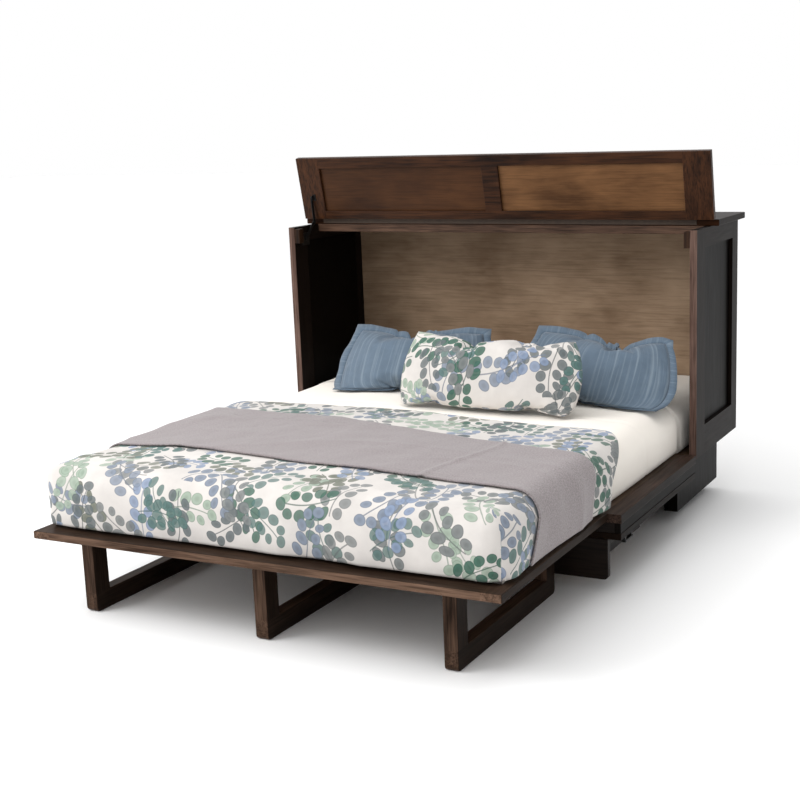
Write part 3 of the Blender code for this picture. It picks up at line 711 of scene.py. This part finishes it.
FIT_GAP = 0.0003
FOLD_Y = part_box("duvet_foot")[1].y + FIT_GAP
DUVET_THICK, THROW_THICK = 0.011, 0.0045
fine = 0.0065
leaf_mat = leaf_print("leaf_cotton")
sheet_mat = cloth("cream_sheet", linear(252, 245, 235), 0.95, 5.0, 900.0, bump=0.1)
throw_mat = cloth("grey_throw", linear(160, 150, 151), 0.46, 210.0, 420.0, sheen=0.35, bump=0.8)
SHAM_STREAKS = ((70.0, 2.0, 1.0), linear(124, 138, 150))
sham_mat = cloth("slate_sham", linear(96, 112, 128), 0.84, 26.0, 420.0, SHAM_STREAKS, bump=0.6)


def duvet_start(s):
    """The duvet's head edge: nearly straight over the top, then slanting down the sides."""
    side = smooth_step(COVER_HALF - 0.09, COVER_HALF + 0.10, abs(s))
    return 0.500 + 0.055 * smooth_step(-0.5, 0.8, s) + 0.012 * math.sin(s * 6.0) + 0.20 * side


def duvet_end(s):
    return -COVER_FOOT - COVER_RADIUS + RUN


def duvet_edge_lift(s, t):
    """The rolled hem at the head edge."""
    return 0.004 * math.exp(-(((t - duvet_start(s)) / 0.03) ** 2))


def throw_start(s):
    side = smooth_step(COVER_HALF - 0.05, COVER_HALF + 0.10, abs(s))
    return 0.660 + 0.185 * smooth_step(-0.60, 0.70, s) + 0.006 * math.sin(s * 9.0) + 0.03 * side


def throw_end(s):
    return 1.180 + 0.100 * (s + 0.78) / 1.56 + 0.008 * math.sin(s * 7.0 + 1.0) + 0.04 * smooth_step(0.75, 0.95, s)


def throw_lift(s, t):
    own = 0.0032 + 0.0030 * max(0.0, fractal(s * 4.0, t * 4.0, 21.0)) + 0.0036
    line = 0.0035 * math.exp(-(((s - 0.44 - 0.03 * math.sin(t * 9.0)) / 0.010) ** 2))
    pinch = 0.0040 * crease(s * 1.2, t * 3.0, 31.0)
    return own + line + pinch


duvet = cover_cloth("duvet_whole", duvet_start, duvet_end, duvet_edge_lift, DUVET_THICK, leaf_mat, fine)
throw = cover_cloth("throw_whole", throw_start, throw_end, throw_lift, THROW_THICK, throw_mat, fine)


def flat_area(start, end, low, high):
    """The flat area of a cloth between two lines across the bed, its longest length and its width."""
    full, count = COVER_FLAT_HALF, 400
    lengths = []
    for i in range(count):
        s = -full + 2 * full * (i + 0.5) / count
        lengths.append(max(0.0, min(end(s), high) - max(start(s), low)))
    return sum(lengths) / count * 2 * full, max(lengths), 2 * full


SPLIT = -(FOLD_Y - FRONT_Y)
CUT_GAP = 0.0002
covers = ((duvet, duvet_start, duvet_end, "duvet"), (throw, throw_start, throw_end, "throw"))
soft = {}
for whole, start, end, kind in covers:
    for part, front, body in (("mid", False, "platform"), ("foot", True, "foot_platform")):
        piece = halved(whole, kind + "_cloth_" + part, FOLD_Y + (-CUT_GAP if front else CUT_GAP), front)
        soft[kind + "_" + part] = piece
        low, high = (SPLIT, math.inf) if front else (-math.inf, SPLIT)
        area, length, width = flat_area(start, end, low, high)
        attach(piece, body)
        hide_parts(kind + "_" + part)
for whole in (duvet, throw):
    bpy.data.objects.remove(whole, do_unlink=True)


FOOT_ROUND = 0.055
MATTRESS_SKEW = -0.006
MATTRESS_RADIUS = 0.085


def mattress(name, y0, y1, z0, step, soft_end):
    """One foam section in its cream sheet: a long loaf with rounded top edges and slight wrinkles."""
    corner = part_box("mattress_mid")[1]
    half, top, radius = corner.x - (0.002 if y1 > 0 else 0.010), corner.z, MATTRESS_RADIUS
    outline = []
    a = half - radius
    n = int(a / step)
    for i in range(n + 1):
        outline.append((a * i / n, top, 0.0))
    for i in range(1, 7):
        angle = math.pi / 2 * i / 6
        outline.append((a + radius * math.sin(angle), top - radius * (1 - math.cos(angle)), radius * angle))
    m = int((top - radius - z0 - 0.012) / step)
    for i in range(1, m + 1):
        z = top - radius - (top - radius - z0 - 0.012) * i / m
        outline.append((half, z, radius * math.pi / 2 + top - radius - z))
    outline.append((half - 0.004, z0 + 0.004, 0.25))
    outline.append((half - 0.012, z0, 0.26))
    left = [(-x, z, d) for x, z, d in outline[1:]][::-1]
    ring = left + outline
    rows = max(2, int((y1 - y0) / step))
    points, flats = [], []
    length = [0.0]
    for (xa, za, _), (xb, zb, _) in zip(ring, ring[1:]):
        length.append(length[-1] + math.hypot(xb - xa, zb - za))
    middle = length[len(left)]
    for i in range(rows + 1):
        y = y0 + (y1 - y0) * i / rows
        near = max(0.0, 1 - (y - y0) / FOOT_ROUND) if soft_end else 0.0
        dip = FOOT_ROUND * (1 - math.sqrt(1 - near * near))
        row, flat = [], []
        for (x, z, d), run in zip(ring, length):
            s = run - middle
            z = max(z0, z - dip)
            crown = 0.008 * max(0.0, 1 - (x / half) ** 2) if d == 0.0 else 0.0
            rise = 0.0016 * fractal(s * 5.0, y * 5.0, 2.0) + 0.0026 * crease(s * 2.0 + y * 1.2, y * 3.6, 6.0)
            if d > 0.05:
                rise += 0.0028 * math.sin(y * 23 + 2 * noise.noise(Vector((y * 3, s, 1.0)))) * min(1, d / 0.1)
                rise *= 0.6 if z > z0 + 0.01 else 0.0
            rise -= 0.0035 * math.exp(-(((y + 0.327 + 0.004 * math.sin(s * 30)) / 0.005) ** 2))
            nx = 0.0 if d == 0.0 else math.copysign(min(1.0, d / (radius * 1.57)), x)
            nz = math.sqrt(max(0.0, 1 - nx * nx))
            lean = MATTRESS_SKEW * smooth_step(0.3, 1.0, -y)
            row.append((x + lean + nx * rise, y + FRONT_Y, z + crown + nz * rise))
            flat.append((s, y))
        points.append(row)
        flats.append(flat)
    mesh = grid_mesh(name, points, flats)
    bm = bmesh.new()
    bm.from_mesh(mesh)
    bmesh.ops.holes_fill(bm, edges=[e for e in bm.edges if e.is_boundary])
    bmesh.ops.recalc_face_normals(bm, faces=bm.faces)
    bm.to_mesh(mesh)
    bm.free()
    return add(name, mesh, sheet_mat)


# part: (the body that it lies on, its foot and head ends from the stiles' front)
SECTIONS = {
    "head": ("cabinet", 0.0006, 0.497),
    "mid": ("platform", -0.7635, -0.0003),
    "foot": ("foot_platform", -1.462, -0.7765),
}
coarse = 0.012
for part, (body, y0, y1) in SECTIONS.items():
    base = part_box("mattress_" + part)[0].z
    piece = mattress("mattress_cloth_" + part, y0, y1, base, coarse, part == "foot")
    soft["mattress_" + part] = piece
    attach(piece, body)
    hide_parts("mattress_" + part)


# ------------------------------------------------------------------ pillows, blown up from two flat sides
CASE_BULGE, QUICK_STRETCH = 0.012, 4.0


def flat_case(name, width, height, cells_x, cells_y):
    """Two flat sides joined round the edge, ready to be filled."""
    bm = bmesh.new()
    layer = bm.loops.layers.uv.new("flat")
    grid = {}
    for side in (1, -1):
        for i in range(cells_x + 1):
            for j in range(cells_y + 1):
                edge = i in (0, cells_x) or j in (0, cells_y)
                if edge and side == -1:
                    grid[side, i, j] = grid[1, i, j]
                    continue
                x, y = width * (i / cells_x - 0.5), height * (j / cells_y - 0.5)
                x *= 1 + 0.10 * (1 - (2 * y / height) ** 2)
                y *= 1 + 0.26 * (1 - (i / cells_x * 2 - 1) ** 2)
                lift = 0.0 if edge else CASE_BULGE * side
                grid[side, i, j] = bm.verts.new((x, y, lift + 0.001 * noise.noise(Vector((x * 9, y * 9, side)))))
    for side in (1, -1):
        for i in range(cells_x):
            for j in range(cells_y):
                corners = [(i, j), (i + 1, j), (i + 1, j + 1), (i, j + 1)]
                if side == -1:
                    corners = corners[::-1]
                face = bm.faces.new([grid[side, *c] for c in corners])
                face.smooth = True
                for loop, (a, b) in zip(face.loops, corners):
                    loop[layer].uv = (width * a / cells_x + (2.0 if side < 0 else 0.0), height * b / cells_y)
    mesh = bpy.data.meshes.new(name)
    bm.to_mesh(mesh)
    bm.free()
    return mesh


def inflate(obj, frames, pressure):
    """Runs Blender's cloth on a case until its filling has rounded it, then keeps the shape. A quick try only
    stretches the case."""
    mod = obj.modifiers.new("filling", "CLOTH")
    st = mod.settings
    st.quality = 6
    st.mass = 0.25
    st.tension_stiffness = st.compression_stiffness = 18
    st.shear_stiffness = 8
    st.bending_stiffness = 0.35
    st.use_pressure = True
    st.uniform_pressure_force = pressure
    st.effector_weights.gravity = 0.0
    st.tension_damping = st.compression_damping = 12
    st.air_damping = 3.0
    mod.point_cache.frame_start, mod.point_cache.frame_end = 1, frames
    scene.frame_start, scene.frame_end = 1, frames
    for frame_number in range(1, frames + 1):
        scene.frame_set(frame_number)
    apply_modifiers(obj)
    scene.frame_set(1)


FLANGE_HALF_SEAM, FLANGE_HALF_EDGE = 0.0016, 0.0012
FLANGE_OVERLAP, FLANGE_STEP = 0.008, 0.0115


def flange(obj, cells_x, cells_y, wide, seed):
    """A flat border sewn on outside the seam, waving a little, closed all round."""
    bm = bmesh.new()
    bm.from_mesh(obj.data)
    bm.verts.ensure_lookup_table()
    rim = [(i, 0) for i in range(cells_x)] + [(cells_x, j) for j in range(cells_y)]
    rim += [(i, cells_y) for i in range(cells_x, 0, -1)] + [(0, j) for j in range(cells_y, 0, -1)]
    layer = bm.loops.layers.uv.active
    seam = [bm.verts[i * (cells_y + 1) + j].co.copy() for i, j in rim]
    count = len(seam)
    rings = [[], [], [], []]
    for k, point in enumerate(seam):
        i, j = rim[k]
        out = Vector(((i == cells_x) - (i == 0), (j == cells_y) - (j == 0), 0.0))
        wave = 0.006 * math.sin(k * 0.42 + seed) + 0.004 * noise.noise(Vector((k * 0.23, seed, 0.0)))
        inner = point - out * FLANGE_OVERLAP
        outer = point + out * wide + Vector((0, 0, wave))
        rings[0].append(bm.verts.new(inner + Vector((0, 0, FLANGE_HALF_SEAM))))
        rings[1].append(bm.verts.new(outer + Vector((0, 0, FLANGE_HALF_EDGE))))
        rings[2].append(bm.verts.new(outer - Vector((0, 0, FLANGE_HALF_EDGE))))
        rings[3].append(bm.verts.new(inner - Vector((0, 0, FLANGE_HALF_SEAM))))
    for r in range(4):
        first, second = rings[r], rings[(r + 1) % 4]
        for k in range(count):
            m = (k + 1) % count
            face = bm.faces.new((first[k], second[k], second[m], first[m]))
            face.smooth = True
            for loop, (along, over) in zip(face.loops, ((k, 0), (k, 1), (k + 1, 1), (k + 1, 0))):
                loop[layer].uv = (along * FLANGE_STEP + 4.0, over * wide)
    bm.to_mesh(obj.data)
    bm.free()


LEAN_GAP, LEAN_REACH, LEAN_BLUR = 0.004, 0.110, 0.070
REST_SOFTNESS, REST_HEIGHT = 0.05, 0.0105


def lay(obj, centre, lean, yaw, roll, thick, droop, under):
    """Sets a filled case leaning on the bed: scaled to its thickness, its top corners drooping by their own
    amounts, turned, bent over what it leans on, then flattened where it rests."""
    co = np.array([v.co for v in obj.data.vertices])
    span = co[:, 2].max() - co[:, 2].min()
    co[:, 2] *= thick / span
    wide, high = co[:, 0].max(), co[:, 1].max()
    top = np.clip((co[:, 1] / high + 0.1) / 1.1, 0, 1) ** 1.5
    for side, amount in zip((-1, 1), droop):
        corner = np.clip((side * co[:, 0] / wide - 0.25) / 0.75, 0, 1) ** 1.6 * top
        co[:, 1] -= amount * corner
        co[:, 2] += 0.45 * amount * corner
    turn = Matrix.Rotation(yaw, 3, "Z") @ Matrix.Rotation(lean, 3, "X") @ Matrix.Rotation(roll, 3, "Z")
    flat = co.copy()
    co = co @ np.array(turn).T
    co += np.array(centre) + np.array((0.0, FRONT_Y, 0.0))
    normal = np.array(turn @ Vector((0, 0, 1)))
    if under:
        need = np.zeros(len(co))
        for other in under:
            tree = BVHTree.FromObject(other, bpy.context.evaluated_depsgraph_get())
            for k, point in enumerate(co):
                hit = tree.ray_cast(Vector(point + normal * 0.5), Vector(-normal), 1.0)
                if hit[0] is not None:
                    need[k] = max(need[k], float(np.dot(np.array(hit[0]) - point, normal)) + LEAN_GAP)
        lift = np.zeros(len(co))
        for k in range(len(co)):
            gap = np.hypot(flat[:, 0] - flat[k, 0], flat[:, 1] - flat[k, 1])
            near = gap < LEAN_REACH
            backs = need[near & (flat[:, 2] <= 0.002)]
            lift[k] = backs.max() if len(backs) else 0.0
        smooth = lift.copy()
        for k in range(len(co)):
            apart = (flat[:, 0] - flat[k, 0]) ** 2 + (flat[:, 1] - flat[k, 1]) ** 2
            weight = np.exp(-apart / (2 * LEAN_BLUR**2))
            smooth[k] = (weight * lift).sum() / weight.sum()
        co += normal * smooth[:, None]
    floor_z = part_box("mattress_mid")[1].z + REST_HEIGHT
    low = co[:, 2] < floor_z + REST_SOFTNESS
    depth = np.clip(floor_z + REST_SOFTNESS - co[:, 2], 0, None)
    co[:, 2] = np.where(low, floor_z + REST_SOFTNESS * np.exp(-depth / REST_SOFTNESS), co[:, 2])
    obj.data.vertices.foreach_set("co", co.ravel())
    obj.data.update()


SHAM_LOOK, PILLOW_LOOK = (sham_mat, "sham", 0.026), (leaf_mat, "duvet", 0)
# name: (cloth, slot and flange), size, centre from the stiles' front, (lean, yaw, roll), thickness, corners' droop
CASES = {
    "sham_left": (SHAM_LOOK, (0.56, 0.33), (-0.270, -0.045, 0.505), (0.86, 0.08, 0.0), 0.175, (0, 0)),
    "sham_right": (SHAM_LOOK, (0.58, 0.36), (0.458, -0.045, 0.504), (0.92, -0.08, -0.01), 0.185, (0, 0.06)),
    "pillow_centre": (PILLOW_LOOK, (0.69, 0.33), (0.168, -0.300, 0.540), (1.12, -0.05, 0.02), 0.150, (0, 0.03)),
}
CELLS = (52, 36)
FILL_FRAMES, FILL_PRESSURE = 26, 5.0
for i, (name, ((mat, slot_name, border), size, centre, turns, thick, droop)) in enumerate(CASES.items()):
    mesh = flat_case(name + "_case", *size, *CELLS)
    obj = add(name + "_case", mesh, mat)
    inflate(obj, FILL_FRAMES, FILL_PRESSURE)
    if border:
        flange(obj, *CELLS, border, i)
    below = () if border else (soft["sham_left"], soft["sham_right"])
    lay(obj, centre, *turns, thick, droop, below)
    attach(obj, "cabinet")
    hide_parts(name)
    soft[name] = obj

# ------------------------------------------------------------------ each soft piece gets a mesh of its own
for part in ("mid", "foot"):
    for kind in ("mattress", "duvet", "throw"):
        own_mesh(soft[kind + "_" + part])
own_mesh(soft["mattress_head"])
for part, keep in (("sham_left", 0.36), ("sham_right", 0.36), ("pillow_centre", 0.32)):
    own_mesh(soft[part])
